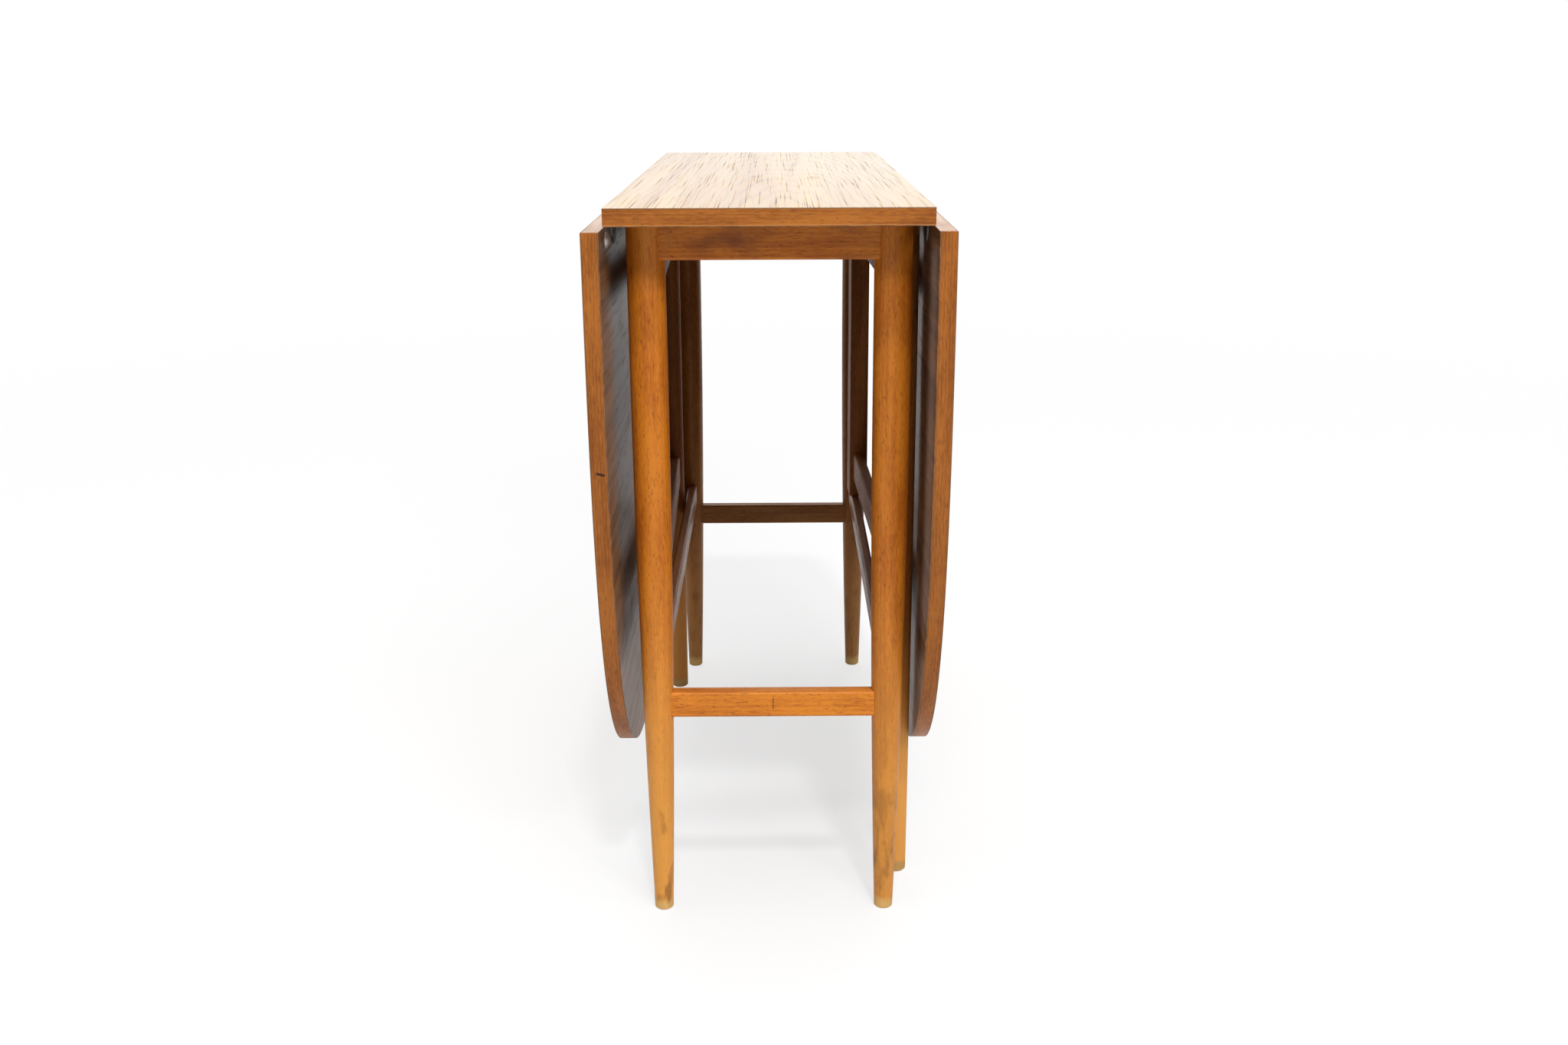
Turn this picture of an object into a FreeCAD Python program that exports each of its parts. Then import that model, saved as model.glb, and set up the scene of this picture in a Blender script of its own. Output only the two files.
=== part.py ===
import FreeCAD
import Part
import math
import os

# Drop-leaf gateleg table in teak, leaves hanging, seen with one narrow end in front.
# Millimetres. X runs to the right, Y away from the front end, Z up. The origin is on
# the floor under the middle of the top. The table repeats after half a turn about Z:
# everything on the right side is built once and turned round to make the left side.

# Whole table
table_height = 730.0
top_length = 850.0
top_width = 290.0

# Boards of the top and the leaves: a core with veneer on both faces and solid edge strips
board_thickness = 16.0
veneer_thickness = 0.8
edge_strip_width = 6.0

# Leaves: half of a squarish oval
leaf_reach = 594.0
leaf_squareness = 3.2
leaf_joint_gap = 0.4
outline_points = 33

# Corner legs, turned: a straight round post at the top and a long taper below it.
# Their axes are set in from the long edges and from the ends of the top.
leg_inset_x = 30.0
leg_inset_y = 85.0
leg_radius = 18.0
leg_foot_radius = 9.6
leg_post_length = 160.0
foot_round = 1.5

# Rails under the top and stretchers near the floor
rail_height = 38.0
end_rail_thickness = 18.0
end_rail_face_offset = 12.0
end_stretcher_bottom = 218.0
end_stretcher_height = 27.0
end_stretcher_thickness = 16.0
side_frame_thickness = 12.0
side_stretcher_step = 7.0
side_stretcher_height = 25.0
bar_round = 3.0

# Tenons: they stop short of the leg's axis, and their mortises leave a film for glue
tenon_share = 0.5
tenon_height_inset = 4.0
tenon_stop = 3.0
tenon_wall = 1.5
glue_film = 0.1

# Gates: a stile on two pivot pins, two rails and a slimmer leg
gate_leg_radius = 12.5
gate_leg_foot_radius = 11.0
gate_leaf_gap = 2.8
gate_frame_gap = 1.5
gate_leg_setback = 78.0
gate_leg_top_gap = 0.5
gate_pivot_setback = 35.0
stile_thickness = 24.0
stile_width = 48.0
stile_pivot_from_end = 8.0
stile_pivot_from_face = 9.0
stile_end_gap = 0.3
gate_rail_thickness = 14.0
gate_rail_height = 36.0
gate_lower_rail_gap = 24.0
gate_upper_rail_gap = 20.0
gate_open_angle = 50.0
pivot_pin_radius = 2.5
pivot_pin_in_frame = 18.0
pivot_pin_in_stile = 20.0
pivot_clearance = 0.05

# Hinges: half-round plates on the underside, knuckles below it
hinges_per_leaf = 3
hinge_leg_gap = 2.0
hinge_rail_gap = 1.05
hinge_axis_drop = 4.25
hinge_axis_inset = 0.45
hinge_plate_width = 40.0
hinge_plate_thickness = 1.4
hinge_knuckle_radius = 3.5
hinge_knuckle_gap = 0.3
hinge_pin_radius = 1.5
hinge_pin_clearance = 0.05

# Wood screws
hinge_screw_radius = 1.6
hinge_screw_head_radius = 3.0
hinge_screw_length = 11.0
hinge_screw_tip_inset = 8.0
hinge_screw_side_inset = 9.0
hinge_screw_row = 10.0
top_screw_radius = 2.2
top_screw_head_radius = 4.2
top_screw_head_height = 2.6
top_screw_bite = 10.0
top_screw_seat_depth = 14.0
top_screw_hole_gap = 0.3
top_screws_side_spacing = 190.0
top_screws_end_offset = 50.0
screw_slot_width = 0.8
screw_slot_depth = 0.7

# Stop blocks that hold the opened gates under the raised leaves
stop_length = 54.0
stop_width = 14.0
stop_thickness = 10.0
stop_round = 2.0
stop_screw_radius = 1.8
stop_screw_head_radius = 3.4
stop_screw_bite = 9.0
stop_screw_spacing = 30.0
stop_leg_gap = 1.0

# Buffers: a domed nail in the inner face of each leaf, beside the leg where its gate turns
buffer_radius = 7.8
buffer_height = 5.0
buffer_nail_radius = 1.2
buffer_nail_length = 9.0
buffer_from_end = 59.0
buffer_from_hinge = 13.4

# Places worked out from the sizes above, from the top and the hinges inwards
top_underside = table_height - board_thickness
core_thickness = board_thickness - 2 * veneer_thickness
rail_bottom = top_underside - rail_height
leg_x = top_width / 2 - leg_inset_x
leg_y = top_length / 2 - leg_inset_y
hinge_x = top_width / 2 - hinge_axis_inset
hinge_z = top_underside - hinge_axis_drop
leaf_inner_x = hinge_x + hinge_axis_drop
leaf_edge_z = hinge_z - hinge_axis_inset - leaf_joint_gap
gate_leg_x = leaf_inner_x - gate_leaf_gap - gate_leg_radius
gate_leg_y = -(leg_y - gate_leg_setback)
side_frame_x = gate_leg_x - gate_leg_radius - gate_frame_gap - side_frame_thickness / 2
hinge_plate_reach = hinge_x - side_frame_x - side_frame_thickness / 2 - hinge_rail_gap
hinge_spacing = leg_y - leg_radius - hinge_leg_gap - hinge_plate_width / 2
end_rail_y = leg_y + end_rail_face_offset - end_rail_thickness / 2
end_stretcher_top = end_stretcher_bottom + end_stretcher_height
side_stretcher_bottom = end_stretcher_top + side_stretcher_step
side_stretcher_top = side_stretcher_bottom + side_stretcher_height
gate_lower_rail_bottom = side_stretcher_top + gate_lower_rail_gap
gate_upper_rail_bottom = rail_bottom - gate_upper_rail_gap - gate_rail_height
pivot_x = side_frame_x
pivot_y = leg_y - gate_pivot_setback
stile_offset = stile_thickness / 2 - stile_pivot_from_face

X_AXIS = FreeCAD.Vector(1, 0, 0)
Y_AXIS = FreeCAD.Vector(0, 1, 0)
Z_AXIS = FreeCAD.Vector(0, 0, 1)
ORIGIN = FreeCAD.Vector(0, 0, 0)


def point(x, y, z):
    return FreeCAD.Vector(x, y, z)


def block(x0, x1, y0, y1, z0, z1):
    return Part.makeBox(x1 - x0, y1 - y0, z1 - z0, point(x0, y0, z0))


def half_turn(shape):
    turned = shape.copy()
    turned.rotate(ORIGIN, Z_AXIS, 180)
    return turned


def cut_all(shape, tools):
    result = shape
    for tool in tools:
        result = result.cut(tool)
    return result


def rounded_along(shape, direction, radius, top_is_square):
    # Rounds the edges that run along one direction, and leaves the upper ones if asked to.
    chosen = []
    for edge in shape.Edges:
        along = edge.tangentAt(edge.FirstParameter)
        height = edge.CenterOfMass.z
        runs_along = abs(along.dot(direction)) > 0.999
        is_top = abs(height - shape.BoundBox.ZMax) < 1e-6
        if runs_along and not (top_is_square and is_top):
            chosen.append(edge)
    return shape.makeFillet(radius, chosen)


def save(name, shapes):
    # Writes one named piece, or a group of separate equal pieces.
    solids = []
    for shape in shapes:
        for solid in shape.removeSplitter().Solids:
            solids.append(solid)
    if len(solids) == 1:
        solids[0].exportStep("parts/" + name + ".step")
    else:
        Part.makeCompound(solids).exportStep("parts/" + name + ".step")


def turned_leg(x, y, radius, foot_radius, top):
    # A straight post with a taper below it, whose radius falls off as a parabola that
    # leaves the post smoothly. The seam of the turning faces the front, off the joints.
    taper_height = top - leg_post_length
    taper = Part.BezierCurve()
    taper.setPoles([
        point(0, -foot_radius, foot_round),
        point(0, -radius, (foot_round + taper_height) / 2),
        point(0, -radius, taper_height),
    ])
    edges = [
        Part.makeLine(point(0, 0, 0), point(0, foot_round - foot_radius, 0)),
        Part.makeLine(point(0, foot_round - foot_radius, 0), point(0, -foot_radius, foot_round)),
        taper.toShape(),
        Part.makeLine(point(0, -radius, taper_height), point(0, -radius, top)),
        Part.makeLine(point(0, -radius, top), point(0, 0, top)),
        Part.makeLine(point(0, 0, top), point(0, 0, 0)),
    ]
    leg = Part.Face(Part.Wire(edges)).revolve(ORIGIN, Z_AXIS, 360)
    leg.translate(point(x, y, 0))
    return leg


def tenon_on_x(x_near, x_far, y_middle, thickness, z0, z1, film):
    half = thickness * tenon_share / 2 + film
    low = z0 + tenon_height_inset - film
    high = z1 - tenon_height_inset + film
    return block(x_near - film, x_far + film, y_middle - half, y_middle + half, low, high)


def tenon_on_y(y_near, y_far, x_middle, thickness, z0, z1, film):
    half = thickness * tenon_share / 2 + film
    low = z0 + tenon_height_inset - film
    high = z1 - tenon_height_inset + film
    return block(x_middle - half, x_middle + half, y_near - film, y_far + film, low, high)


def countersunk_screw(shank_radius, head_radius, length, slot):
    # Points along +Z from its head's flat face at the origin. The cone is a right angle.
    cone_height = head_radius - shank_radius
    screw = Part.makeCone(head_radius, shank_radius, cone_height)
    shank = Part.makeCylinder(shank_radius, length - shank_radius - cone_height, point(0, 0, cone_height))
    tip = Part.makeCone(shank_radius, 0, shank_radius, point(0, 0, length - shank_radius))
    screw = screw.fuse([shank, tip]).removeSplitter()
    if slot:
        width = screw_slot_width / 2
        screw = screw.cut(block(-head_radius, head_radius, -width, width, 0, screw_slot_depth))
    return screw


def placed(shape, axis, angle, x, y, z):
    moved = shape.copy()
    moved.rotate(ORIGIN, axis, angle)
    moved.translate(point(x, y, z))
    return moved


def leaf_curve(inset):
    # The half oval, moved inwards along its normal. Gives points (y, depth below the edge).
    half_length = top_length / 2
    power = leaf_squareness
    curve = []
    for i in range(outline_points):
        turn = math.pi * i / (outline_points - 1)
        side = 1 if turn <= math.pi / 2 else -1
        along = half_length * abs(math.cos(turn)) ** (2 / power)
        depth = leaf_reach * abs(math.sin(turn)) ** (2 / power)
        normal_y = along ** (power - 1) / half_length ** power
        normal_depth = depth ** (power - 1) / leaf_reach ** power
        size = math.hypot(normal_y, normal_depth)
        y = side * (along - inset * normal_y / size)
        curve.append((y, depth - inset * normal_depth / size))
    curve[0] = (half_length - inset, 0.0)
    curve[-1] = (-half_length + inset, 0.0)
    return curve


def leaf_board(inset, x0, x1):
    # A slab with the leaf's outline, straight along the hinge side.
    points = []
    for y, depth in leaf_curve(inset):
        points.append(point(x0, y, leaf_edge_z - depth))
    spline = Part.BSplineCurve()
    down = point(0, 0, -1)
    spline.interpolate(Points=points, InitialTangent=down, FinalTangent=-down)
    straight = Part.makeLine(points[-1], points[0])
    face = Part.Face(Part.Wire([spline.toShape(), straight]))
    return face.extrude(point(x1 - x0, 0, 0))


def hinge_plate(knuckles):
    # One half of a hinge at the origin: the pin along Y, the plate reaching towards -X
    # and lying against wood above it. It ends short of the other board, which it meets when
    # the leaf is up. knuckles lists the (start, end) of its own barrels.
    half = hinge_plate_width / 2
    high = hinge_axis_drop
    low = hinge_axis_drop - hinge_plate_thickness
    square_end = -(hinge_plate_reach - half)
    joint_end = -(hinge_axis_inset + leaf_joint_gap)
    plate = block(square_end, joint_end, -half, half, low, high)
    disc = Part.makeCylinder(half, hinge_plate_thickness, point(square_end, 0, low))
    plate = plate.fuse(disc.common(block(square_end - half, square_end, -half, half, low, high)))
    clear_radius = hinge_knuckle_radius + hinge_knuckle_gap
    plate = plate.cut(Part.makeCylinder(clear_radius, hinge_plate_width, point(0, -half, 0), Y_AXIS))
    for start, end in knuckles:
        barrel = Part.makeCylinder(hinge_knuckle_radius, end - start, point(0, start, 0), Y_AXIS)
        web = block(-clear_radius, joint_end, start, end, low, high)
        plate = plate.fuse([barrel, web])
    return plate.removeSplitter()


def hinge_screw_places():
    # (reach from the pin, place along the pin) of the three screws of one plate
    tip = hinge_plate_reach - hinge_screw_tip_inset
    side = hinge_plate_width / 2 - hinge_screw_side_inset
    return [(tip, 0.0), (hinge_screw_row, side), (hinge_screw_row, -side)]


def to_leaf_side(shape):
    # Swaps "inwards" with "down", which carries the top's half of a hinge onto the leaf.
    turned = shape.copy()
    turned.rotate(ORIGIN, point(1, 0, 1), 180)
    return turned


os.makedirs("parts", exist_ok=True)

# Hinges of the right leaf. The top's half has the two outer barrels and holds the pin.
third = hinge_plate_width / 6
half_gap = hinge_knuckle_gap / 2
outer_barrels = [(-3 * third, -third - half_gap), (third + half_gap, 3 * third)]
middle_barrel = [(-third + half_gap, third - half_gap)]
pin_hole = Part.makeCylinder(hinge_pin_radius, hinge_plate_width, point(0, -3 * third, 0), Y_AXIS)
running_hole = Part.makeCylinder(
    hinge_pin_radius + hinge_pin_clearance, hinge_plate_width, point(0, -3 * third, 0), Y_AXIS
)
top_half = hinge_plate(outer_barrels).cut(pin_hole)
leaf_half = to_leaf_side(hinge_plate(middle_barrel)).cut(running_hole)
screw_with_slot = countersunk_screw(hinge_screw_radius, hinge_screw_head_radius, hinge_screw_length, True)
screw_plain = countersunk_screw(hinge_screw_radius, hinge_screw_head_radius, hinge_screw_length, False)

hinge_top_plates = []
hinge_leaf_plates = []
hinge_pins = []
hinge_top_screws = []
hinge_leaf_screws = []
hinge_top_holes = []
hinge_leaf_holes = []
plate_face = hinge_axis_drop - hinge_plate_thickness
for i in range(hinges_per_leaf):
    hinge_y = hinge_spacing * (i - (hinges_per_leaf - 1) / 2)
    top_holes = []
    leaf_holes = []
    for reach, along in hinge_screw_places():
        for source, top_list, leaf_list in (
            (screw_with_slot, hinge_top_screws, hinge_leaf_screws),
            (screw_plain, top_holes, leaf_holes),
        ):
            local = placed(source, Z_AXIS, 0, -reach, along, plate_face)
            top_list.append(placed(local, Z_AXIS, 0, hinge_x, hinge_y, hinge_z))
            leaf_list.append(placed(to_leaf_side(local), Z_AXIS, 0, hinge_x, hinge_y, hinge_z))
    hinge_top_plates.append(cut_all(placed(top_half, Z_AXIS, 0, hinge_x, hinge_y, hinge_z), top_holes))
    hinge_leaf_plates.append(cut_all(placed(leaf_half, Z_AXIS, 0, hinge_x, hinge_y, hinge_z), leaf_holes))
    hinge_pins.append(placed(pin_hole, Z_AXIS, 0, hinge_x, hinge_y, hinge_z))
    hinge_top_holes.extend(top_holes)
    hinge_leaf_holes.extend(leaf_holes)

for side, turn in (("right", False), ("left", True)):
    for name, shapes in (
        ("hinge_top_plates", hinge_top_plates),
        ("hinge_leaf_plates", hinge_leaf_plates),
        ("hinge_pins", hinge_pins),
        ("hinge_top_screws", hinge_top_screws),
        ("hinge_leaf_screws", hinge_leaf_screws),
    ):
        pieces = [half_turn(shape) if turn else shape for shape in shapes]
        save(name + "_" + side, pieces)

# Screws that pull the top down onto the rails, from counterbored holes under the rails
seat_z = rail_bottom + top_screw_seat_depth
screw_tip_z = top_underside + top_screw_bite
top_screws = []
top_screw_bores = []
top_screw_bites = []
screw_places = []
for sign in (1, -1):
    for step in (-1, 0, 1):
        screw_places.append((sign * side_frame_x, sign * step * top_screws_side_spacing))
    for step in (-1, 1):
        screw_places.append((step * top_screws_end_offset, sign * end_rail_y))
for x, y in screw_places:
    shank_start = point(x, y, seat_z)
    bite = Part.makeCylinder(top_screw_radius, screw_tip_z - top_underside, point(x, y, top_underside))
    shank = Part.makeCylinder(top_screw_radius, screw_tip_z - seat_z, shank_start)
    head_start = point(x, y, seat_z - top_screw_head_height)
    head = Part.makeCylinder(top_screw_head_radius, top_screw_head_height, head_start)
    slot_end = head_start.z + screw_slot_depth
    half_slot = screw_slot_width / 2
    slot = block(
        x - top_screw_head_radius, x + top_screw_head_radius,
        y - half_slot, y + half_slot, head_start.z, slot_end,
    )
    top_screws.append(shank.fuse(head).removeSplitter().cut(slot))
    clearance_hole = Part.makeCylinder(
        top_screw_radius + top_screw_hole_gap, rail_height, point(x, y, rail_bottom)
    )
    counterbore = Part.makeCylinder(
        top_screw_head_radius + top_screw_hole_gap, seat_z - rail_bottom, point(x, y, rail_bottom)
    )
    top_screw_bores.append(clearance_hole.fuse(counterbore))
    top_screw_bites.append(bite)
save("top_screws", top_screws)

# Fixed top: core, solid strips along the sides and across the ends, veneer on both faces
half_width = top_width / 2
half_length = top_length / 2
core_low = top_underside + veneer_thickness
core_high = table_height - veneer_thickness
inner_x = half_width - edge_strip_width
inner_y = half_length - edge_strip_width
left_hinge_holes = [half_turn(hole) for hole in hinge_top_holes]
holes_from_below = hinge_top_holes + left_hinge_holes + top_screw_bites
top_core = block(-inner_x, inner_x, -inner_y, inner_y, core_low, core_high)
save("top_core", [cut_all(top_core, holes_from_below)])
side_strip = block(inner_x, half_width, -inner_y, inner_y, core_low, core_high)
side_strip = cut_all(side_strip, hinge_top_holes)
save("top_side_strips", [side_strip, half_turn(side_strip)])
end_strip = block(-half_width, half_width, -half_length, -inner_y, core_low, core_high)
save("top_end_strips", [end_strip, half_turn(end_strip)])
face_veneer = block(-half_width, half_width, -half_length, half_length, core_high, table_height)
save("top_face_veneer", [face_veneer])
back_veneer = block(-half_width, half_width, -half_length, half_length, top_underside, core_low)
save("top_back_veneer", [cut_all(back_veneer, holes_from_below)])

# Leaves: the same layers, with one strip bent round the curve and one along the joint.
# A stop block is screwed under each leaf where the leg of the opened gate lands.
swing = math.hypot(gate_leg_x - pivot_x, gate_leg_y - pivot_y)
stow_turn = math.atan2(gate_leg_x - pivot_x, pivot_y - gate_leg_y)
open_turn = stow_turn + math.radians(gate_open_angle)
landing_x = pivot_x + swing * math.sin(open_turn)
landing_y = pivot_y - swing * math.cos(open_turn)
stop_shift = gate_leg_radius + stop_leg_gap + stop_width / 2
stop_x = landing_x + stop_shift * math.cos(open_turn)
stop_y = landing_y + stop_shift * math.sin(open_turn)
stop_depth = stop_x - half_width - leaf_joint_gap
stop_z = leaf_edge_z - stop_depth
stop_tilt = math.degrees(open_turn)
stop_block = block(
    -stop_thickness, 0, -stop_width / 2, stop_width / 2, -stop_length / 2, stop_length / 2
)
stop_block = rounded_along(stop_block, X_AXIS, stop_round, False)
stop_screw_length = stop_thickness + stop_screw_bite
stop_screws = []
stop_holes = []
for step in (-0.5, 0.5):
    for with_slot, target in ((True, stop_screws), (False, stop_holes)):
        screw = countersunk_screw(stop_screw_radius, stop_screw_head_radius, stop_screw_length, with_slot)
        screw = placed(screw, Y_AXIS, 90, -stop_thickness, 0, step * stop_screw_spacing)
        target.append(placed(screw, X_AXIS, stop_tilt - 90, leaf_inner_x, stop_y, stop_z))
stop_block = placed(stop_block, X_AXIS, stop_tilt - 90, leaf_inner_x, stop_y, stop_z)
stop_block = cut_all(stop_block, stop_holes)

# A buffer's dome is part of a ball, and its nail fills its hole in the leaf.
ball_radius = (buffer_radius ** 2 + buffer_height ** 2) / (2 * buffer_height)
dome_tip = leaf_inner_x - buffer_height
buffer_y = half_length - buffer_from_end
buffer_z = hinge_z - buffer_from_hinge
ball = Part.makeSphere(ball_radius, point(dome_tip + ball_radius, buffer_y, buffer_z))
dome = ball.common(block(
    dome_tip, leaf_inner_x, buffer_y - ball_radius, buffer_y + ball_radius,
    buffer_z - ball_radius, buffer_z + ball_radius
))
buffer_nail = Part.makeCylinder(
    buffer_nail_radius, buffer_nail_length, point(leaf_inner_x, buffer_y, buffer_z), X_AXIS
)
leaf_buffer = dome.fuse(buffer_nail).removeSplitter()

leaf_holes = hinge_leaf_holes + stop_holes + [buffer_nail]
core_x0 = leaf_inner_x + veneer_thickness
core_x1 = core_x0 + core_thickness
leaf_outer_x = leaf_inner_x + board_thickness
inside = leaf_board(edge_strip_width, core_x0, core_x1)
joint_zone = block(
    core_x0, core_x1, -half_length, half_length, leaf_edge_z - edge_strip_width, leaf_edge_z
)
leaf_pieces = {
    "leaf_core": cut_all(inside.cut(joint_zone), leaf_holes),
    "leaf_joint_strip": cut_all(inside.common(joint_zone), leaf_holes),
    "leaf_curved_strip": leaf_board(0, core_x0, core_x1).cut(inside),
    "leaf_face_veneer": leaf_board(0, core_x1, leaf_outer_x),
    "leaf_back_veneer": cut_all(leaf_board(0, leaf_inner_x, core_x0), leaf_holes),
    "leaf_stop": stop_block,
    "leaf_buffer": leaf_buffer,
}
for name, shape in leaf_pieces.items():
    save(name + "_right", [shape])
    save(name + "_left", [half_turn(shape)])
save("leaf_stop_screws_right", stop_screws)
save("leaf_stop_screws_left", [half_turn(screw) for screw in stop_screws])

# End rails and end stretchers, shouldered to the round legs and tenoned into them.
# They are made for the front end, between the two front legs, and turned for the rear.
front_legs = []
for sign in (-1, 1):
    front_legs.append(turned_leg(sign * leg_x, -leg_y, leg_radius, leg_foot_radius, top_underside))


def end_tenon(y_middle, thickness, z0, z1, film):
    reach = leg_x - tenon_stop
    return tenon_on_x(-reach, reach, y_middle, thickness, z0, z1, film)


def end_bar(y_middle, thickness, z0, z1, square_top):
    bar = block(-leg_x, leg_x, y_middle - thickness / 2, y_middle + thickness / 2, z0, z1)
    bar = rounded_along(bar, X_AXIS, bar_round, square_top)
    bar = cut_all(bar, front_legs)
    return bar.fuse(end_tenon(y_middle, thickness, z0, z1, 0)).removeSplitter()


end_rail = end_bar(-end_rail_y, end_rail_thickness, rail_bottom, top_underside, True)
end_rail = cut_all(end_rail, top_screw_bores)
end_stretcher = end_bar(-leg_y, end_stretcher_thickness, end_stretcher_bottom, end_stretcher_top, False)
save("end_rail_front", [end_rail])
save("end_rail_rear", [half_turn(end_rail)])
save("end_stretcher_front", [end_stretcher])
save("end_stretcher_rear", [half_turn(end_stretcher)])

# Side rails and side stretchers, made for the right side. Each holds one gate pivot pin.
right_legs = [front_legs[1], half_turn(front_legs[0])]

# The tenons of the side rails stop short of those of the end rails at the same height.
rail_tenon_reach = end_rail_y - end_rail_thickness * tenon_share / 2 - tenon_wall
stretcher_tenon_reach = leg_y - tenon_stop


def side_tenon(reach, z0, z1, film):
    return tenon_on_y(-reach, reach, side_frame_x, side_frame_thickness, z0, z1, film)


def side_bar(reach, z0, z1, square_top):
    half = side_frame_thickness / 2
    bar = block(side_frame_x - half, side_frame_x + half, -leg_y, leg_y, z0, z1)
    bar = rounded_along(bar, Y_AXIS, bar_round, square_top)
    bar = cut_all(bar, right_legs)
    return bar.fuse(side_tenon(reach, z0, z1, 0)).removeSplitter()


stile_low = side_stretcher_top + stile_end_gap
stile_high = rail_bottom - stile_end_gap
pin_length = pivot_pin_in_frame + pivot_pin_in_stile
lower_pin_start = point(pivot_x, pivot_y, side_stretcher_top - pivot_pin_in_frame)
upper_pin_start = point(pivot_x, pivot_y, rail_bottom - pivot_pin_in_stile)
pivot_pins = [
    Part.makeCylinder(pivot_pin_radius, pin_length, lower_pin_start),
    Part.makeCylinder(pivot_pin_radius, pin_length, upper_pin_start),
]
side_rail = side_bar(rail_tenon_reach, rail_bottom, top_underside, True)
side_rail = cut_all(side_rail, top_screw_bores + pivot_pins)
side_stretcher = side_bar(stretcher_tenon_reach, side_stretcher_bottom, side_stretcher_top, False)
side_stretcher = cut_all(side_stretcher, pivot_pins)
for name, shapes in (
    ("side_rail", [side_rail]),
    ("side_stretcher", [side_stretcher]),
    ("gate_pivot_pins", pivot_pins),
):
    save(name + "_right", shapes)
    save(name + "_left", [half_turn(shape) for shape in shapes])

# Corner legs with their mortises
end_cuts = [
    end_tenon(-end_rail_y, end_rail_thickness, rail_bottom, top_underside, glue_film),
    end_tenon(-leg_y, end_stretcher_thickness, end_stretcher_bottom, end_stretcher_top, glue_film),
]
side_cuts = [
    side_tenon(rail_tenon_reach, rail_bottom, top_underside, glue_film),
    side_tenon(stretcher_tenon_reach, side_stretcher_bottom, side_stretcher_top, glue_film),
]
left_side_cuts = [half_turn(cut) for cut in side_cuts]
leg_front_left = cut_all(front_legs[0], end_cuts + left_side_cuts)
leg_front_right = cut_all(front_legs[1], end_cuts + side_cuts)
save("leg_front_left", [leg_front_left])
save("leg_front_right", [leg_front_right])
save("leg_rear_right", [half_turn(leg_front_left)])
save("leg_rear_left", [half_turn(leg_front_right)])

# Right gate, built parallel to Y from its pivot and then turned to where it is stowed,
# with its leg outside the line of the corner legs and just inside the hanging leaf
gate_x = pivot_x + stile_offset
gate_reach = math.sqrt(swing * swing - stile_offset * stile_offset)
gate_foot_y = pivot_y - gate_reach
gate_turn = math.degrees(stow_turn - math.atan2(stile_offset, gate_reach))
stile_front = pivot_y + stile_pivot_from_end - stile_width
stile = block(
    gate_x - stile_thickness / 2, gate_x + stile_thickness / 2,
    stile_front, pivot_y + stile_pivot_from_end, stile_low, stile_high,
)
stile = rounded_along(stile, Z_AXIS, bar_round, False)
for pin in pivot_pins:
    start = pin.BoundBox.ZMin - stile_end_gap
    length = pin_length + 2 * stile_end_gap
    hole = Part.makeCylinder(pivot_pin_radius + pivot_clearance, length, point(pivot_x, pivot_y, start))
    stile = stile.cut(hole)
gate_leg_top = top_underside - gate_leg_top_gap
gate_leg_round = turned_leg(gate_x, gate_foot_y, gate_leg_radius, gate_leg_foot_radius, gate_leg_top)
gate_leg = gate_leg_round
gate_rails = {}
tenon_front = gate_foot_y + tenon_stop
tenon_back = stile_front + stile_width / 2
for name, low in (("gate_lower_rail", gate_lower_rail_bottom), ("gate_upper_rail", gate_upper_rail_bottom)):
    high = low + gate_rail_height
    half = gate_rail_thickness / 2
    rail = block(gate_x - half, gate_x + half, gate_foot_y, stile_front, low, high)
    rail = rounded_along(rail, Y_AXIS, bar_round, False).cut(gate_leg_round)
    tenon = tenon_on_y(tenon_front, tenon_back, gate_x, gate_rail_thickness, low, high, 0)
    mortise = tenon_on_y(tenon_front, tenon_back, gate_x, gate_rail_thickness, low, high, glue_film)
    gate_rails[name] = rail.fuse(tenon).removeSplitter()
    gate_leg = gate_leg.cut(mortise)
    stile = stile.cut(mortise)
gate_pieces = dict(gate_rails, gate_stile=stile, gate_leg=gate_leg)
for name, shape in gate_pieces.items():
    stowed = shape.copy()
    stowed.rotate(point(pivot_x, pivot_y, 0), Z_AXIS, gate_turn)
    save(name + "_right", [stowed])
    save(name + "_left", [half_turn(stowed)])
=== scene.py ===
import bpy
import math
from mathutils import Matrix, Vector


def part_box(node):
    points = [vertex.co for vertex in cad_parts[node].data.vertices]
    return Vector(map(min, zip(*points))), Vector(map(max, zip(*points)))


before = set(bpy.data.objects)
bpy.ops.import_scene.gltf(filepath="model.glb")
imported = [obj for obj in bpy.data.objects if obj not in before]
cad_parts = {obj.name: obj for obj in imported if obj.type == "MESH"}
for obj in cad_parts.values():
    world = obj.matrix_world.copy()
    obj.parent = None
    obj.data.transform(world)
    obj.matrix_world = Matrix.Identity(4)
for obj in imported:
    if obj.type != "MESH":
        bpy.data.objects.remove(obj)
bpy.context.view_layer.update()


# CORNER LEGS
# Four legs turned from solid teak, straight at the top and tapering to a small foot. Their clear
# lacquer has gone amber. Round the feet it is rubbed through to pale wood and marked by mops.

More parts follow.
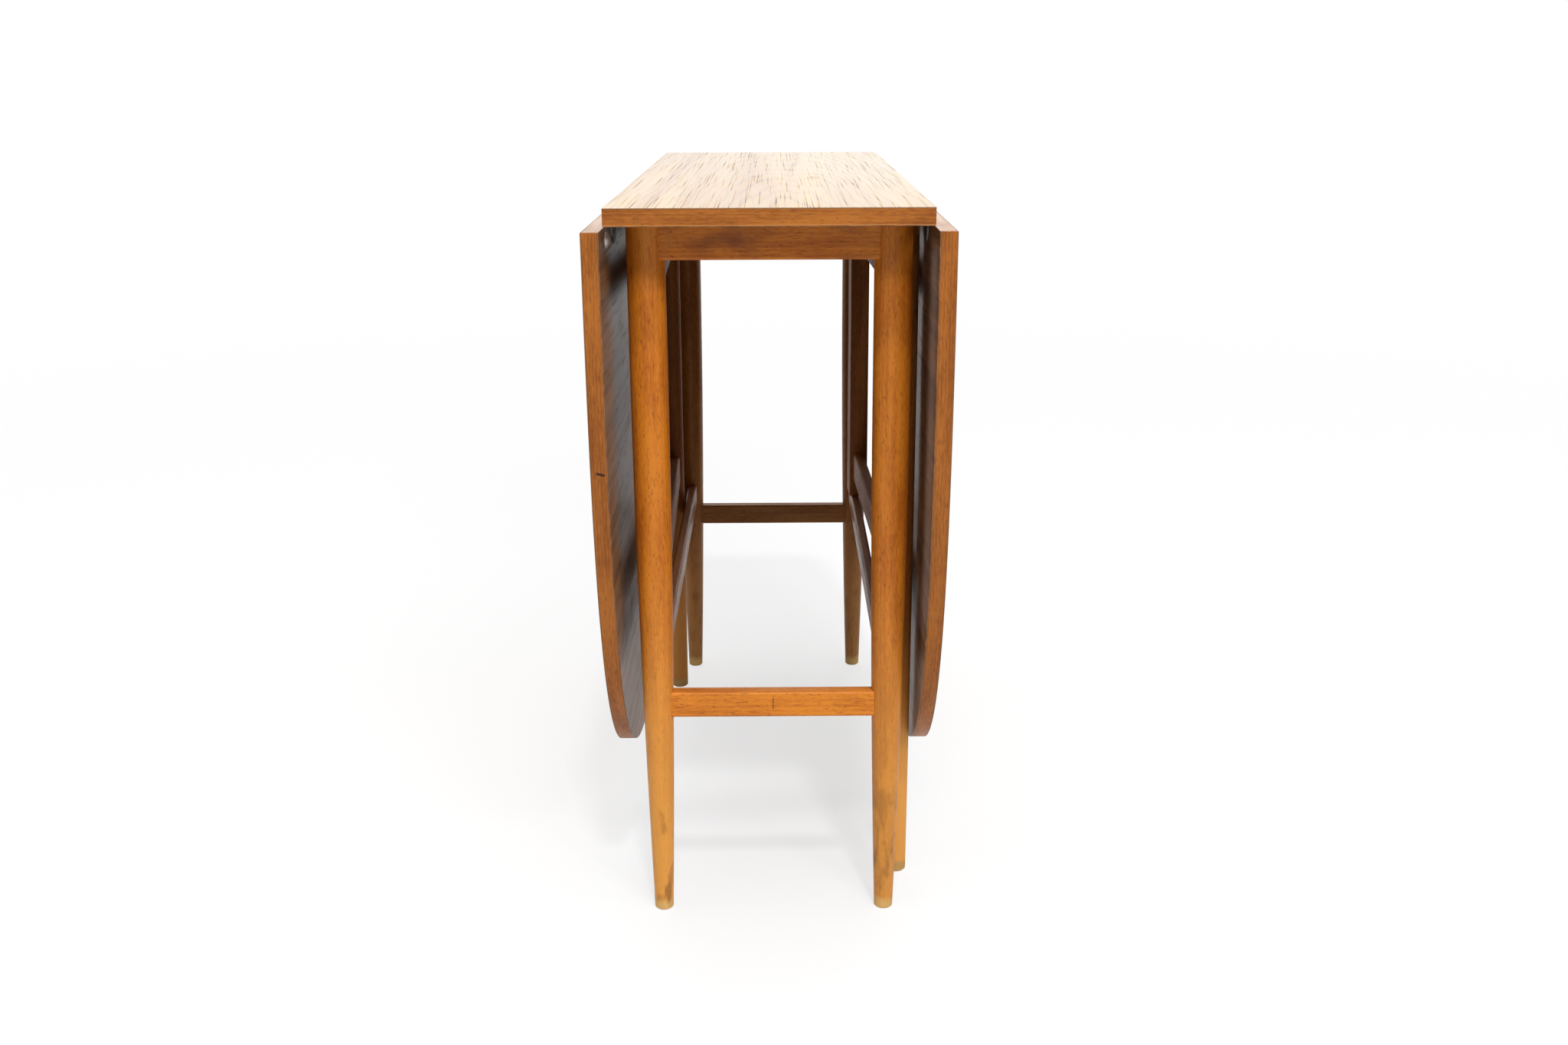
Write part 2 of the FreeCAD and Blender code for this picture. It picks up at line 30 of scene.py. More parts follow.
class Field:
    """One output socket of a finish, so that what changes over a surface is written as maths."""

    def __init__(self, finish, socket):
        self.finish = finish
        self.socket = socket

    def part(self, output):
        """Another output of the same node."""
        return Field(self.finish, self.socket.node.outputs[output])

    def __add__(self, other):
        return self.finish.maths("ADD", self, other)

    def __sub__(self, other):
        return self.finish.maths("SUBTRACT", self, other)

    def __rsub__(self, other):
        return self.finish.maths("SUBTRACT", other, self)

    def __mul__(self, other):
        return self.finish.maths("MULTIPLY", self, other)

    def __truediv__(self, other):
        return self.finish.maths("DIVIDE", self, other)

    def __rtruediv__(self, other):
        return self.finish.maths("DIVIDE", other, self)

    def __pow__(self, other):
        return self.finish.maths("POWER", self, other)

    def __rpow__(self, other):
        return self.finish.maths("POWER", other, self)

    __radd__ = __add__
    __rmul__ = __mul__


class Finish:
    """One material, or the studio's light. node() adds any node: type, settings, values or links."""

    def __init__(self, name, library=bpy.data.materials, shader="Principled BSDF"):
        self.data = library.new(name)
        self.data.use_nodes = True
        self.tree = self.data.node_tree
        self.shader = self.tree.nodes[shader]

    def node(self, kind, settings, sockets, output=0):
        made = self.tree.nodes.new(kind)
        for setting, value in settings.items():
            setattr(made, setting, value)
        self.feed(made, sockets)
        return Field(self, made.outputs[output])

    def feed(self, node, sockets):
        for socket, value in sockets.items():
            if isinstance(value, Field):
                self.tree.links.new(value.socket, node.inputs[socket])
            else:
                node.inputs[socket].default_value = value

    def maths(self, operation, first, second=0.0):
        return self.node("ShaderNodeMath", {"operation": operation}, {0: first, 1: second})

    def blend(self, share, first, second):
        """A mix of two colours. The node has like named sockets for other data, so these go by number."""
        factor, colour_a, colour_b, colour_result = 0, 6, 7, 2
        mixed = {factor: share, colour_a: first, colour_b: second}
        return self.node("ShaderNodeMix", {"data_type": "RGBA"}, mixed, colour_result)

    def ramp(self, value, start, end):
        """0 up to start and 1 from end on, with a soft step between them."""
        value_in, from_low, from_high = 0, 1, 2
        step = {value_in: value, from_low: start, from_high: end}
        return self.node("ShaderNodeMapRange", {"interpolation_type": "SMOOTHSTEP"}, step)

    def spot(self):
        """Place on the piece, in metres."""
        return self.node("ShaderNodeTexCoord", {}, {}, "Object")

    def axes(self, place):
        x = self.node("ShaderNodeSeparateXYZ", {}, {0: place})
        return x, x.part("Y"), x.part("Z")

    def noise(self, place, per_metre, detail):
        """Cloudy noise, with so many specks in a metre along each axis. A minus mirrors it."""
        drawn = self.node("ShaderNodeVectorMath", {"operation": "MULTIPLY"}, {0: place, 1: per_metre})
        return self.node("ShaderNodeTexNoise", {}, {"Vector": drawn, "Scale": 1.0, "Detail": detail})


def paint(red, green, blue):
    """A colour from a paint card, 0 to 255, as light for a shader's socket."""
    light = []
    for level in (red, green, blue):
        share = level / 255
        light.append(share / 12.92 if share <= 0.04045 else ((share + 0.055) / 1.055) ** 2.4)
    return (*light, 1.0)


def painted_shading(shading_tint, red, green, blue):
    """A paint card's colour scaled by a share for each of its three levels, to paint light or shade on a
    piece.
    """
    return paint(red * shading_tint[0], green * shading_tint[1], blue * shading_tint[2])


def dress(finish, *pieces):
    for piece in pieces:
        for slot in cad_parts[piece].material_slots:
            slot.material = finish.data


def fibres_along(finish, axis):
    """Place on the piece in metres, turned so that the wood's fibres run along the third axis."""
    x, y, z = finish.axes(finish.spot())
    first, second, third = {"x": (y, z, x), "y": (z, x, y), "z": (x, y, z)}[axis]
    return finish.node("ShaderNodeCombineXYZ", {}, {0: first, 1: second, 2: third})


def teak_figure(finish, place, pale, dark, ring_width, pith):
    """Colour, relief and shade of teak: rings round a pith outside the piece, streaks, fibre and pores."""
    ring_at_scale_one = 0.314
    along_fibres = 0.05
    log = finish.node(
        "ShaderNodeMapping", {}, {"Vector": place, "Location": pith, "Scale": (1.0, 1.0, along_fibres)}
    )
    ring_shape = {"Distortion": 3.5, "Detail": 3.0, "Detail Scale": 0.6}
    rings = finish.node(
        "ShaderNodeTexWave", {"wave_type": "RINGS", "rings_direction": "Z"},
        {"Vector": log, "Scale": ring_at_scale_one / ring_width, **ring_shape}, "Fac",
    )
    streaks = finish.noise(place, (130.0, 130.0, 13.0), detail=3.0)
    mottle = finish.noise(place, (40.0, 40.0, 10.0), detail=3.0)
    fibre = finish.noise(place, (800.0, 800.0, 110.0), detail=2.0)
    pores = finish.ramp(finish.noise(place, (600.0, 600.0, 160.0), detail=1.0), 0.60, 0.72)
    shade = finish.ramp(0.05 * rings + 0.25 * streaks + 0.45 * mottle + 0.35 * fibre, 0.42, 0.72)
    colour = finish.blend(shade, pale, dark)
    colour = finish.blend(0.40 * pores, colour, paint(92, 46, 16))
    relief = 0.5 * fibre - pores
    return colour, relief, shade


def lacquer(finish, colour, relief, roughness, gloss, depth=0.0002):
    """Clear satin lacquer over wood, sunk into the pores and fibres by a depth in metres."""
    bump = finish.node("ShaderNodeBump", {}, {"Strength": 0.5, "Distance": depth, "Height": relief})
    finish.feed(finish.shader, {"Base Color": colour, "Roughness": roughness, "Normal": bump})
    finish.feed(finish.shader, {"Specular IOR Level": gloss})


# Painted light: from this height down, each leg is painted paler towards the floor, by its own share; the
# rear legs get the least.
painted_light_top, painted_light_bottom = 0.42, 0.04
grime_top, grime_bottom = 0.24, 0.02
worn_top, worn_bottom, worn_waver = 0.023, 0.013, 0.014
# Painted shade: the rear legs are painted darker than the front ones, and the front right leg a little
# darker.
for leg, shading_tint, painted_light_share in (
    ("leg_front_left", (1.0, 1.0, 1.0), 0.65),
    ("leg_front_right", (0.96, 0.96, 0.96), 0.51),
    ("leg_rear_left", (0.79, 0.85, 1.15), 0.28),
    ("leg_rear_right", (0.79, 0.85, 1.15), 0.28),
):
    turned = Finish("teak_" + leg)
    turned_place = fibres_along(turned, "z")
    colour, relief, shade = teak_figure(
        turned, turned_place, painted_shading(shading_tint, 210, 125, 34), painted_shading(shading_tint, 174, 91, 20),
        ring_width=0.0035, pith=(0.055, 0.030, 0.0),
    )
    height = turned.axes(turned_place)[2]
    blotch = turned.noise(turned_place, (85.0, 85.0, 28.0), detail=4.0)
    painted_light = turned.ramp(height, painted_light_top, painted_light_bottom)
    grime = turned.ramp(blotch, 0.50, 0.66) * turned.ramp(height, grime_top, grime_bottom)
    worn = turned.ramp(height + worn_waver * blotch, worn_top, worn_bottom)
    colour = turned.blend(painted_light_share * painted_light, colour, painted_shading(shading_tint, 242, 174, 82))
    colour = turned.blend(0.60 * grime, colour, paint(112, 68, 32))
    colour = turned.blend(0.75 * worn, colour, paint(222, 184, 116))
    lacquer(turned, colour, relief, 0.38 + 0.12 * shade + 0.25 * worn, gloss=0.25)
    dress(turned, leg)


# END RAILS AND END STRETCHERS
# Straight teak bars with softened edges, scribed round the legs and glued into them with tenons.
# The rails have dark stains, and their upper part is painted darker as painted shadow of the top.
# The front bars are painted a little lighter and the rear bars darker, as painted light and shade.
# The front stretcher has a short scratch in its middle.

def mark(finish, distance, edge, core):
    """1 up to core metres from a line, fading to 0 at edge."""
    return finish.ramp(distance ** 2.0, edge ** 2, core ** 2)


rail_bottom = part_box("end_rail_front")[0].z
scratch_x = 0.0006
scratch_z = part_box("end_stretcher_front")[0].z + 0.015
stain_from, stain_whole = rail_bottom - 0.076, rail_bottom + 0.014
# Painted shadow of the top: the upper part of each rail is painted darker from this line up.
top_shadow_from, top_shadow_whole, top_shadow_waver = rail_bottom + 0.0105, rail_bottom + 0.0135, 0.001
# Painted light and shade: the front bars are painted a little lighter, and the rear bars darker.
for end, shading_tint in (("front", (1.04, 1.04, 1.04)), ("rear", (0.76, 0.83, 1.05))):
    bar = Finish("teak_end_bar_" + end)
    colour, relief, shade = teak_figure(
        bar, fibres_along(bar, "x"), painted_shading(shading_tint, 212, 128, 36), painted_shading(shading_tint, 174, 92, 22),
        ring_width=0.0040, pith=(0.020, 0.060, 0.0),
    )
    bar_spot = bar.spot()
    bar_x = bar.axes(bar_spot)[0]
    bar_z = bar_x.part("Z")
    blotch = bar.noise(bar_spot, (-16.0, 16.0, 30.0), detail=2.0)
    on_rail = bar.ramp(bar_z, stain_from, stain_whole)
    top_shadow = bar.ramp(bar_z + top_shadow_waver * blotch, top_shadow_from, top_shadow_whole)
    stain_and_shadow = bar.ramp(blotch, 0.50, 0.72) * on_rail + 0.40 * top_shadow
    colour = bar.blend(0.55 * stain_and_shadow, colour, paint(112, 56, 28))
    if end == "front":
        scratch = mark(bar, bar_x - scratch_x, edge=0.0011, core=0.00045)
        scratch = scratch * mark(bar, bar_z - scratch_z, edge=0.0071, core=0.0045)
        colour = bar.blend(0.60 * scratch, colour, paint(84, 44, 22))
    lacquer(bar, colour, relief, 0.36 + 0.12 * shade, gloss=0.25)
    dress(bar, "end_rail_" + end, "end_stretcher_" + end)


# SIDE RAILS AND SIDE STRETCHERS
# Thinner teak bars that join the front and rear legs under the long edges, tenoned like the end
# bars. Each holds one pivot pin of a gate. They had one thin coat, and their colour is painted
# browner and darker than the legs', as painted shade under the top and behind the leaves.

side_bar = Finish("teak_side_bar")
# Painted shade: these colours are darker and browner than the legs'.
side_colour, side_relief, side_shade = teak_figure(
    side_bar, fibres_along(side_bar, "y"), paint(158, 96, 42), paint(130, 74, 32),
    ring_width=0.0040, pith=(0.050, 0.020, 0.0),
)
lacquer(side_bar, side_colour, side_relief, 0.36 + 0.12 * side_shade, gloss=0.28)
dress(side_bar, "side_rail_left", "side_rail_right", "side_stretcher_left", "side_stretcher_right")


# SCREWS AND PIVOT PINS
# Slotted wood screws and drawn pins of plain steel, turned on a lathe and never polished. They
# are grey, finely scratched, and a little brown where damp has reached them.

steel = Finish("plain_steel")
steel_spot = steel.spot()
steel_rust = steel.ramp(steel.noise(steel_spot, (260.0, 260.0, 260.0), detail=4.0), 0.55, 0.75)
steel_scratches = steel.noise(steel_spot, (900.0, 5200.0, 900.0), detail=2.0)
steel_colour = steel.blend(steel_scratches, paint(150, 148, 142), paint(104, 102, 98))
steel_colour = steel.blend(0.45 * steel_rust, steel_colour, paint(98, 70, 48))
steel.feed(steel.shader, {
    "Base Color": steel_colour,
    "Metallic": 1.0 - 0.5 * steel_rust,
    "Roughness": 0.34 + 0.15 * steel_scratches + 0.20 * steel_rust,
})
dress(steel, "top_screws")
for side in ("left", "right"):
    dress(steel, "gate_pivot_pins_" + side, "hinge_pins_" + side, "leaf_stop_screws_" + side)
    dress(steel, "hinge_top_screws_" + side, "hinge_leaf_screws_" + side)


# BOARD CORES
# The top and the leaves are built on a pressed board of pale wood chips in glue. It is covered on
# every side and shows only inside the screw holes.

core = Finish("chip_board")
chips = core.node("ShaderNodeTexVoronoi", {}, {"Vector": core.spot(), "Scale": 340.0}, "Color")
chip_tone = core.axes(chips)[0]
core_colour = core.blend(chip_tone, paint(196, 160, 112), paint(142, 102, 62))
core_bump = core.node("ShaderNodeBump", {}, {"Strength": 0.6, "Distance": 0.0003, "Height": chip_tone})
core.feed(core.shader, {"Base Color": core_colour, "Roughness": 0.85, "Normal": core_bump})
dress(core, "top_core", "leaf_core_left", "leaf_core_right")


# EDGE STRIPS OF THE TOP
# Solid teak strips glued round the core, along the two sides and across the two ends. The fibres
# run along each strip. They are darker along the glue line at their upper edge, and the lower edge
# is rubbed.

strip_bottom, strip_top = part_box("top_end_strips")[0].z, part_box("top_end_strips")[1].z
dark_line_from, dark_line_whole = strip_top - 0.0006, strip_top - 0.0001
rub_from, rub_whole = strip_bottom + 0.0008, strip_bottom + 0.0002
for axis, piece in (("x", "top_end_strips"), ("y", "top_side_strips")):
    strip = Finish("teak_strip_" + axis)
    strip_colour, strip_relief, strip_shade = teak_figure(
        strip, fibres_along(strip, axis), paint(172, 103, 37), paint(128, 68, 19),
        ring_width=0.0030, pith=(0.030, 0.040, 0.0),
    )
    strip_height = strip.axes(strip.spot())[2]
    dark_upper_line = strip.ramp(strip_height, dark_line_from, dark_line_whole)
    rubbed_line = strip.ramp(strip_height, rub_from, rub_whole)
    strip_colour = strip.blend(0.55 * dark_upper_line, strip_colour, paint(84, 46, 22))
    strip_colour = strip.blend(0.45 * rubbed_line, strip_colour, paint(214, 150, 84))
    lacquer(strip, strip_colour, strip_relief, 0.42 + 0.12 * strip_shade, gloss=0.22)
    dress(strip, piece)


# FACE VENEER OF THE TOP AND THE LEAVES
# Teak sliced flat: its year rings show as arches in the middle and straight lines beside them, with
# long open pores. Its satin coat is patchy. The top is paler than the leaves, and it is painted paler
# still towards one rear corner, as painted sheen.

def teak_veneer(name, face, across, centre, pale, dark, painted_light_share):
    """A sheet square to the axis named face, whose arches stand at a centre on the axis named across."""
    veneer = Finish(name)
    place = fibres_along(veneer, "y")
    spot = veneer.spot()
    along = veneer.axes(spot)[1]
    waver = veneer.noise(place, (16.0, 16.0, 1.6), detail=3.0)
    year_width = 0.0075
    pith_depth = 0.055 + 0.070 * along + 0.030 * waver
    pith_distance = ((along.part(across) - centre) ** 2.0 + pith_depth ** 2.0) ** 0.5
    year = veneer.maths("FRACT", pith_distance / year_width + 3.0 * waver)
    early = veneer.ramp(year, 0.45, 0.0) + veneer.ramp(year, 0.94, 1.0)
    streaks = veneer.noise(place, (60.0, 60.0, 1.1), detail=4.0)
    bands = veneer.noise(place, (14.0, 14.0, 0.6), detail=2.0)
    fibre = veneer.noise(place, (1400.0, 1400.0, 12.0), detail=2.0)
    pores = veneer.ramp(veneer.noise(place, (800.0, 800.0, 4.0), detail=1.5), 0.58, 0.67)
    shade = veneer.ramp(0.60 * streaks + 0.40 * bands + 0.20 * fibre, 0.42, 0.80)
    colour = veneer.blend(shade, pale, dark)
    # Painted sheen: the colour goes paler towards one rear corner, by the share given.
    sheen_across, sheen_along = (-0.040, 0.070), (-0.60, 0.10)
    painted_light = veneer.ramp(along.part(across) - centre, *sheen_across) * veneer.ramp(along, *sheen_along)
    colour = veneer.blend(painted_light_share * painted_light, colour, paint(252, 228, 178))
    colour = veneer.blend((0.10 + 0.30 * shade) * early, colour, paint(128, 78, 46))
    colour = veneer.blend(pores * (0.40 + 0.60 * early), colour, paint(70, 40, 24))
    facing = veneer.axes(spot.part("Normal"))[0].part(face)
    cut_edge = veneer.ramp(facing ** 2.0, 0.6, 0.3)
    colour = veneer.blend(0.85 * cut_edge, colour, paint(104, 62, 30))
    wiped = veneer.noise(place, (7.0, 7.0, 4.0), detail=3.0)
    roughness = 0.07 + 0.08 * wiped + 0.35 * pores + 0.35 * cut_edge
    lacquer(veneer, colour, 0.4 * fibre - pores, roughness, gloss=0.7)
    return veneer


top_arches = 0.020
top_pale, top_dark = paint(232, 190, 112), paint(204, 150, 82)
faded_top = teak_veneer("teak_veneer_top", "Z", "X", top_arches, top_pale, top_dark, painted_light_share=0.55)
dress(faded_top, "top_face_veneer")
leaf_low, leaf_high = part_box("leaf_face_veneer_left")
leaf_arches = (leaf_low.z + leaf_high.z) / 2
leaf_pale, leaf_dark = paint(222, 165, 94), paint(184, 124, 67)
rich_leaf = teak_veneer("teak_veneer_leaf", "X", "Z", leaf_arches, leaf_pale, leaf_dark, painted_light_share=0.0)
dress(rich_leaf, "leaf_face_veneer_left", "leaf_face_veneer_right")


# BACK VENEER OF THE TOP AND THE LEAVES
# A plainer, darker veneer on the undersides, stained to hide its patches and given a single coat.
# With the leaves down, it is their inner faces.

back = Finish("stained_back_veneer")
back_place = fibres_along(back, "y")
back_streaks = back.ramp(back.noise(back_place, (90.0, 90.0, 2.0), detail=5.0), 0.35, 0.68)
back_fibre = back.noise(back_place, (700.0, 700.0, 22.0), detail=2.0)
back_pores = back.ramp(back.noise(back_place, (420.0, 420.0, 24.0), detail=1.0), 0.58, 0.70)
back_patch = back.noise(back_place, (9.0, 9.0, 5.0), detail=3.0)
back_colour = back.blend(back_streaks, paint(142, 102, 68), paint(106, 73, 47))
back_colour = back.blend(0.25 * back_pores, back_colour, paint(56, 38, 28))
back_roughness = 0.32 + 0.16 * back_patch + 0.10 * back_pores
lacquer(back, back_colour, 0.6 * back_fibre - 0.4 * back_pores, back_roughness, gloss=0.25)
dress(back, "top_back_veneer", "leaf_back_veneer_left", "leaf_back_veneer_right")


# HINGES
# Three pressed steel hinges under each joint, their plates round at the ends and screwed flat to
# the wood. The zinc on them has gone dull and grey, with a darker bloom here and there.

zinc = Finish("dull_zinc")
zinc_spot = zinc.spot()
zinc_bloom = zinc.noise(zinc_spot, (160.0, 160.0, 160.0), detail=4.0)
zinc_grain = zinc.noise(zinc_spot, (1500.0, 1500.0, 1500.0), detail=2.0)
zinc_colour = zinc.blend(zinc.ramp(zinc_bloom, 0.35, 0.65), paint(146, 142, 134), paint(98, 95, 90))
zinc_bump = zinc.node("ShaderNodeBump", {}, {"Strength": 0.3, "Distance": 0.0001, "Height": zinc_grain})
zinc.feed(zinc.shader, {
    "Base Color": zinc_colour,
    "Metallic": 0.85,
    "Roughness": 0.40 + 0.30 * zinc_bloom,
    "Normal": zinc_bump,
})
for side in ("left", "right"):
    dress(zinc, "hinge_top_plates_" + side, "hinge_leaf_plates_" + side)


# BUFFERS
# A domed nail of nickelled steel in the inner face of each leaf, driven in beside the leg where its
# gate turns. The dome is stamped smooth, and the wood that touches it has scratched it dull.

nickel = Finish("scratched_nickel")
nickel_scratches = nickel.noise(nickel.spot(), (700.0, 700.0, 3200.0), detail=3.0)
nickel_colour = nickel.blend(nickel_scratches, paint(212, 208, 200), paint(160, 157, 150))
nickel_roughness = 0.40 + 0.20 * nickel_scratches
nickel.feed(nickel.shader, {"Base Color": nickel_colour, "Metallic": 0.9, "Roughness": nickel_roughness})
dress(nickel, "leaf_buffer_left", "leaf_buffer_right")


# EDGE STRIPS OF THE LEAVES
# One teak strip is bent round the curve of each leaf, so that its fibres follow the curve. A straight
# one runs along the joint, rubbed smooth, and its colour is painted pale as painted sheen. The left
# leaf has a small dark knock in front.

joint_strip = Finish("teak_joint_strip")
# Painted sheen: these colours are paler than those of the other strips.
joint_colour, joint_relief, joint_shade = teak_figure(
    joint_strip, fibres_along(joint_strip, "y"), paint(206, 152, 92), paint(160, 108, 62),
    ring_width=0.0030, pith=(0.030, 0.040, 0.0),
)
lacquer(joint_strip, joint_colour, joint_relief, 0.16 + 0.12 * joint_shade, gloss=0.6, depth=0.0001)
dress(joint_strip, "leaf_joint_strip_left", "leaf_joint_strip_right")

oval_power = 3.2
run_per_turn = 0.52
glue_width = 0.0008
knock_inset, knock_height, knock_slope = 0.0085, 0.4905, 0.25
knock_from, knock_whole = -0.40, -0.41
for side in ("left", "right"):
    low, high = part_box("leaf_curved_strip_" + side)
    curved = Finish("teak_bent_strip_" + side)
    x, y, z = curved.axes(curved.spot())
    y_share = y / high.y
    drop_share = (high.z - z) / (high.z - low.z)
    turn = curved.maths("ARCTAN2", drop_share, y_share)
    y_size = curved.maths("ABSOLUTE", y_share)
    drop_size = curved.maths("ABSOLUTE", drop_share)
    outward = (y_size ** oval_power + drop_size ** oval_power) ** (1 / oval_power)
    curved_place = curved.node(
        "ShaderNodeCombineXYZ", {}, {0: x, 1: high.y * outward, 2: run_per_turn * turn}
    )
    curved_colour, curved_relief, curved_shade = teak_figure(
        curved, curved_place, paint(172, 102, 36), paint(126, 68, 19),
        ring_width=0.0028, pith=(0.030, -0.380, 0.0),
    )
    off_middle = curved.maths("ABSOLUTE", x - (low.x + high.x) / 2)
    half_thickness = (high.x - low.x) / 2
    glue_line = curved.ramp(off_middle, half_thickness - glue_width, half_thickness)
    curved_colour = curved.blend(0.55 * glue_line, curved_colour, paint(78, 42, 22))
    if side == "left":
        from_knock = x - (low.x + knock_inset)
        knock = mark(curved, z - knock_height + knock_slope * from_knock, edge=0.00173, core=0.00089)
        knock = knock * mark(curved, from_knock, edge=0.00447, core=0.00316)
        knock = knock * curved.ramp(y, knock_from, knock_whole)
        curved_colour = curved.blend(0.90 * knock, curved_colour, paint(30, 18, 14))
    lacquer(curved, curved_colour, curved_relief, 0.42 + 0.12 * curved_shade, gloss=0.22)
    dress(curved, "leaf_curved_strip_" + side)


# STOP BLOCKS
# A small block of beech under each leaf, screwed on where the leg of the opened gate comes to rest.
# It is bare wood with the fine short flecks of beech, darkened by handling.

beech = Finish("bare_beech")
beech_place = fibres_along(beech, "z")
beech_flecks = beech.ramp(beech.noise(beech_place, (900.0, 900.0, 160.0), detail=1.0), 0.60, 0.68)
beech_tone = beech.noise(beech_place, (160.0, 160.0, 12.0), detail=4.0)
beech_colour = beech.blend(beech_tone, paint(204, 164, 112), paint(160, 116, 72))
beech_colour = beech.blend(0.50 * beech_flecks, beech_colour, paint(120, 78, 46))
lacquer(beech, beech_colour, beech_tone - beech_flecks, 0.60 + 0.10 * beech_tone, gloss=0.36)
dress(beech, "leaf_stop_left", "leaf_stop_right")


# GATES
# Each gate is a stile that turns on two pins, two rails and a slim turned leg, tenoned together in
# teak. Their colour is painted browner than the corner legs', as painted shade behind the leaves.
# Their legs are painted paler towards the floor as painted light, far more on the right gate than on
# the shaded left one, and are rubbed near the floor.

# Painted light: from this height down, a gate leg is painted paler towards the floor, far more on the
# right gate than on the shaded left one. Painted shade: the gate colours below are darker and browner than
# the corner legs'.
gate_painted_light_top, gate_painted_light_bottom = 0.34, 0.12
gate_worn_top, gate_worn_bottom, gate_worn_waver = 0.021, 0.014, 0.012
for side, painted_light_share in (("left", 0.40), ("right", 0.85)):
    for axis, parts in (("y", ("gate_upper_rail", "gate_lower_rail")), ("z", ("gate_stile", "gate_leg"))):
        gate = Finish("teak_gate_" + side + "_" + axis)
        gate_colour, gate_relief, gate_shade = teak_figure(
            gate, fibres_along(gate, axis), paint(158, 96, 42), paint(128, 72, 30),
            ring_width=0.0035, pith=(0.040, 0.045, 0.0),
        )
        gate_spot = gate.spot()
        gate_height = gate.axes(gate_spot)[2]
        gate_blotch = gate.noise(gate_spot, (38.0, 38.0, 14.0), detail=3.0)
        gate_painted_light = gate.ramp(gate_height, gate_painted_light_top, gate_painted_light_bottom)
        gate_worn = gate.ramp(gate_height + gate_worn_waver * gate_blotch, gate_worn_top, gate_worn_bottom)
        gate_colour = gate.blend(painted_light_share * gate_painted_light, gate_colour, paint(236, 166, 80))
        gate_colour = gate.blend(0.75 * gate_worn, gate_colour, paint(176, 146, 92))
        gate_roughness = 0.52 + 0.12 * gate_shade + 0.20 * gate_worn
        lacquer(gate, gate_colour, gate_relief, gate_roughness, gloss=0.22)
        for part in parts:
            dress(gate, part + "_" + side)


# FLOOR, LIGHT AND CAMERA
# A white studio floor that runs into a white background and keeps the table's soft shadow. A high
# lamp and a wide screen stand in front, with one broad soft lamp at each side and one behind.

floor_reach = 30.0
floor_corners = [
    (-floor_reach, -floor_reach, 0.0), (floor_reach, -floor_reach, 0.0),
    (floor_reach, floor_reach, 0.0), (-floor_reach, floor_reach, 0.0),
]
floor_mesh = bpy.data.meshes.new("studio_floor")
floor_mesh.from_pydata(floor_corners, [], [(0, 1, 2, 3)])
floor = bpy.data.objects.new("studio_floor", floor_mesh)
bpy.context.scene.collection.objects.link(floor)


def in_sight(finish):
    """1 for what the camera sees, straight, mirrored or through glass, and 0 for the light it throws."""
    ray = finish.node("ShaderNodeLightPath", {}, {}, "Is Camera Ray")
    seen = finish.maths("MAXIMUM", ray, ray.part("Is Glossy Ray"))
    return finish.maths("MAXIMUM", seen, ray.part("Is Transmission Ray"))


paper_unseen, paper_seen = 0.70, 0.92
glow_near, glow_far = 0.66, 1.0
near_distance, far_distance = 1.0, 4.5
white_floor = Finish("white_floor")
floor_seen = in_sight(white_floor)
floor_spot = white_floor.spot()
distance = white_floor.node("ShaderNodeVectorMath", {"operation": "LENGTH"}, {0: floor_spot}, "Value")
far_share = white_floor.ramp(distance, near_distance, far_distance)
glow = floor_seen * (glow_near + (glow_far - glow_near) * far_share)
paper = (paper_unseen + (paper_seen - paper_unseen) * floor_seen) * (1.0 - glow)
white_floor.feed(white_floor.shader, {
    "Base Color": paper,
    "Specular IOR Level": 0.0,
    "Emission Color": glow,
    "Emission Strength": 1.0,
})
floor_mesh.materials.append(white_floor.data)

sky_light, sky_white = 0.10, 1.0
sky = Finish("white_studio", bpy.data.worlds, "Background")
sky_strength = sky_light + (sky_white - sky_light) * in_sight(sky)
sky.feed(sky.shader, {"Color": (1.0, 1.0, 1.0, 1.0), "Strength": sky_strength})
bpy.context.scene.world = sky.data

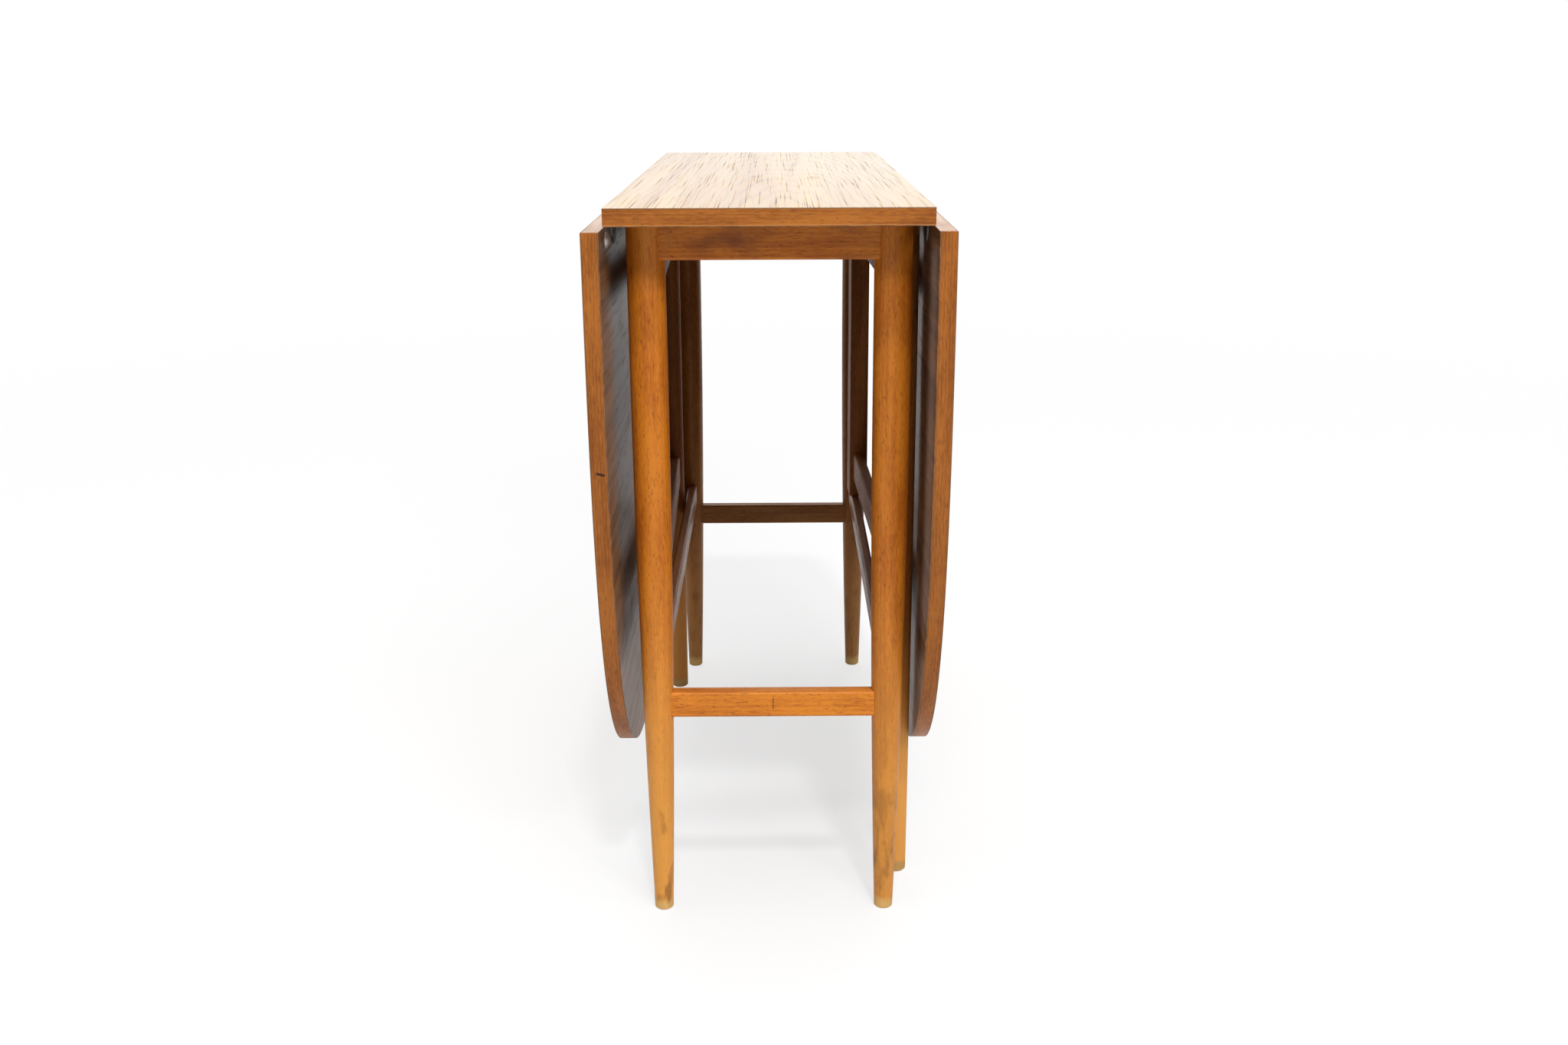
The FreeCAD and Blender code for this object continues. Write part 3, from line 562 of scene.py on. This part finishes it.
lamp_distance = 3.0
for name, azimuth, elevation, strength, spread in (
    ("high_lamp", 10.0, 59.0, 0.9, 4.0),
    ("left_lamp", 280.0, 68.0, 0.75, 50.0),
    ("right_lamp", 80.0, 68.0, 0.75, 50.0),
    ("rear_lamp", 180.0, 58.0, 0.7, 50.0),
):
    lamp = bpy.data.lights.new(name, "SUN")
    lamp.energy = strength
    lamp.angle = math.radians(spread)
    stand = bpy.data.objects.new(name, lamp)
    round_turn, rise = math.radians(azimuth), math.radians(elevation)
    towards = Vector((math.sin(round_turn), -math.cos(round_turn), 0.0)) * math.cos(rise)
    towards.z = math.sin(rise)
    stand.location = lamp_distance * towards
    stand.rotation_mode = "QUATERNION"
    stand.rotation_quaternion = towards.to_track_quat("Z", "Y")
    bpy.context.scene.collection.objects.link(stand)

screen_lit_place = Vector((0.0, -0.4, 0.6))
fill = bpy.data.lights.new("fill_screen", "AREA")
fill.shape = "RECTANGLE"
fill.size, fill.size_y = 1.8, 0.35
fill.energy = 44.0
screen = bpy.data.objects.new("fill_screen", fill)
screen.location = (0.615, -2.29, 2.27)
screen.rotation_mode = "QUATERNION"
screen.rotation_quaternion = (screen.location - screen_lit_place).to_track_quat("Z", "Y")
screen.visible_camera = False
bpy.context.scene.collection.objects.link(screen)

eye = (0.0049, -1.7785, 0.8509)
yaw, pitch, roll = -0.0051, -0.2908, -0.0039
picture_width, focal_pixels = 2048, 2011.1
level_ahead = Vector((-math.sin(yaw), math.cos(yaw), 0.0))
forward = level_ahead * math.cos(pitch) + Vector((0.0, 0.0, math.sin(pitch)))
level_right = Vector((math.cos(yaw), math.sin(yaw), 0.0))
level_up = level_right.cross(forward)
right = math.cos(roll) * level_right + math.sin(roll) * level_up
up = right.cross(forward)
lens = bpy.data.cameras.new("camera")
lens.sensor_width = 36.0
lens.lens = lens.sensor_width * focal_pixels / picture_width
lens.clip_start = 0.05
lens.clip_end = 200.0
camera = bpy.data.objects.new("camera", lens)
facing_picture = Matrix((right, up, -forward)).transposed().to_4x4()
camera.matrix_world = Matrix.Translation(eye) @ facing_picture
bpy.context.scene.collection.objects.link(camera)
bpy.context.scene.camera = camera
bpy.context.scene.view_settings.view_transform = "Standard"
